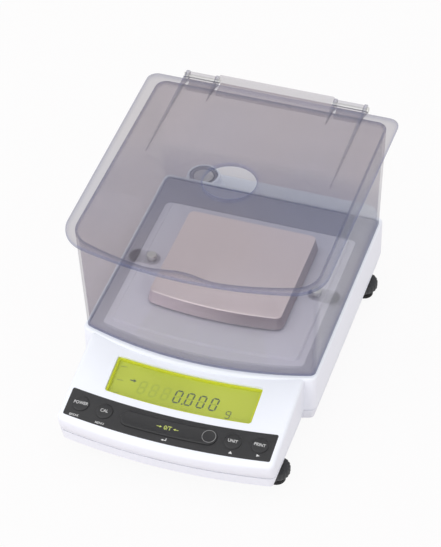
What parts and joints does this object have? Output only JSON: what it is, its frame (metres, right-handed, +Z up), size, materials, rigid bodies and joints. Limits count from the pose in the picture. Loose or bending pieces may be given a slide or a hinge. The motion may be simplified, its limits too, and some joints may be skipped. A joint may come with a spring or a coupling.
{
  "type": "precision balance",
  "caption": "Bench precision balance with a steel pan, sloping keypad console and smoky draft shield with a hinged lid.",
  "frame": {"origin": "centre of the footprint, on the table", "axes": "+Z up, -Y towards the user (console), +X to the user's right"},
  "size_m": [0.2096, 0.317, 0.1726],
  "materials": {
    "white_shell": "fine satin moulding",
    "dark_panel": "matt dark grey",
    "key_dark": "satin near black",
    "clear_window": "clear, gloss",
    "lime_border": "matt lime",
    "display_field": "lime display glass",
    "back_light": "milky light guide",
    "smoke_plastic": "clear smoky grey, gloss",
    "smoke_frame": "dark smoky grey, see-through",
    "pan_steel": "stainless, finely brushed",
    "plated_steel": "plated",
    "alloy": "machined",
    "copper": "copper wire",
    "circuit_board": "green solder mask",
    "black_rubber": "matt"
  },
  "bodies": {
    "case": {"upper_case": "white_shell", "lower_case": "white_shell", "display_window": "clear_window", "display_frame": "lime_border", "display_glass": "display_field", "display_backlight": "back_light", "keypad_panel": "dark_panel", "key_board": "circuit_board", "main_board": "circuit_board", "load_post": "plated_steel", "force_cell": "alloy", "cell_bolt_left": "plated_steel", "cell_bolt_right": "plated_steel", "magnet_housing": "plated_steel", "force_coil": "copper", "lever_arm": "alloy", "level_vial": "clear_window", "level_ring": "dark_panel", "power_inlet": "dark_panel", "serial_port": "plated_steel", "case_screw_front_left": "plated_steel", "case_screw_front_right": "plated_steel", "case_screw_rear_left": "plated_steel", "case_screw_rear_right": "plated_steel"},
    "lid": {"lid": "smoke_plastic"},
    "windbreak": {"windbreak_box": "smoke_plastic", "windbreak_frame": "smoke_frame", "hinge_pin_left": "plated_steel", "hinge_pin_right": "plated_steel"},
    "lock_knob_left": {"lock_knob_left": "plated_steel"},
    "lock_knob_right": {"lock_knob_right": "plated_steel"},
    "pan": {"weighing_pan": "pan_steel", "pan_support": "alloy"},
    "power_key": {"power_key": "key_dark"},
    "calibrate_key": {"calibrate_key": "key_dark"},
    "tare_key": {"tare_key": "key_dark"},
    "unit_key": {"unit_key": "key_dark"},
    "print_key": {"print_key": "key_dark"},
    "foot_front_left": {"foot_wheel_front_left": "dark_panel", "foot_pad_front_left": "black_rubber"},
    "foot_front_right": {"foot_wheel_front_right": "dark_panel", "foot_pad_front_right": "black_rubber"},
    "foot_rear_left": {"foot_wheel_rear_left": "dark_panel", "foot_pad_rear_left": "black_rubber"},
    "foot_rear_right": {"foot_wheel_rear_right": "dark_panel", "foot_pad_rear_right": "black_rubber"}
  },
  "joints": [
    {"name": "windbreak_lift", "type": "slide", "parent": "case", "child": "windbreak", "axis": [0, 0, 1], "range_m": [0, 0.05]},
    {"name": "lid_hinge", "type": "hinge", "parent": "windbreak", "child": "lid", "pos_m": [0, 0.1296, 0.1681], "axis": [-1, 0, 0], "range_deg": [0, 100]},
    {"name": "lock_knob_left_turn", "type": "hinge", "parent": "windbreak", "child": "lock_knob_left", "pos_m": [-0.069, 0.0185, 0.063], "axis": [0, 0, 1], "range_deg": [-180, 180]},
    {"name": "lock_knob_right_turn", "type": "hinge", "parent": "windbreak", "child": "lock_knob_right", "pos_m": [0.069, 0.0185, 0.063], "axis": [0, 0, 1], "range_deg": [-180, 180]},
    {"name": "pan_lift", "type": "slide", "parent": "case", "child": "pan", "axis": [0, 0, 1], "range_m": [0, 0.06]},
    {"name": "power_key_press", "type": "slide", "parent": "case", "child": "power_key", "axis": [0, 0.2079, -0.9781], "range_m": [0, 0.0008], "stiffness_N_per_m": 1500, "springref_m": -0.0003},
    {"name": "calibrate_key_press", "type": "slide", "parent": "case", "child": "calibrate_key", "axis": [0, 0.2079, -0.9781], "range_m": [0, 0.0008], "stiffness_N_per_m": 1500, "springref_m": -0.0003},
    {"name": "tare_key_press", "type": "slide", "parent": "case", "child": "tare_key", "axis": [0, 0.2079, -0.9781], "range_m": [0, 0.0008], "stiffness_N_per_m": 1500, "springref_m": -0.0003},
    {"name": "unit_key_press", "type": "slide", "parent": "case", "child": "unit_key", "axis": [0, 0.2079, -0.9781], "range_m": [0, 0.0008], "stiffness_N_per_m": 1500, "springref_m": -0.0003},
    {"name": "print_key_press", "type": "slide", "parent": "case", "child": "print_key", "axis": [0, 0.2079, -0.9781], "range_m": [0, 0.0008], "stiffness_N_per_m": 1500, "springref_m": -0.0003},
    {"name": "foot_front_left_turn", "type": "hinge", "parent": "case", "child": "foot_front_left", "pos_m": [-0.0795, -0.1205, 0.007], "axis": [0, 0, 1], "range_deg": [-360, 360]},
    {"name": "foot_front_right_turn", "type": "hinge", "parent": "case", "child": "foot_front_right", "pos_m": [0.0795, -0.1205, 0.007], "axis": [0, 0, 1], "range_deg": [-360, 360]},
    {"name": "foot_rear_left_turn", "type": "hinge", "parent": "case", "child": "foot_rear_left", "pos_m": [-0.0875, 0.0995, 0.007], "axis": [0, 0, 1], "range_deg": [-360, 360]},
    {"name": "foot_rear_right_turn", "type": "hinge", "parent": "case", "child": "foot_rear_right", "pos_m": [0.0875, 0.0995, 0.007], "axis": [0, 0, 1], "range_deg": [-360, 360]}
  ]
}
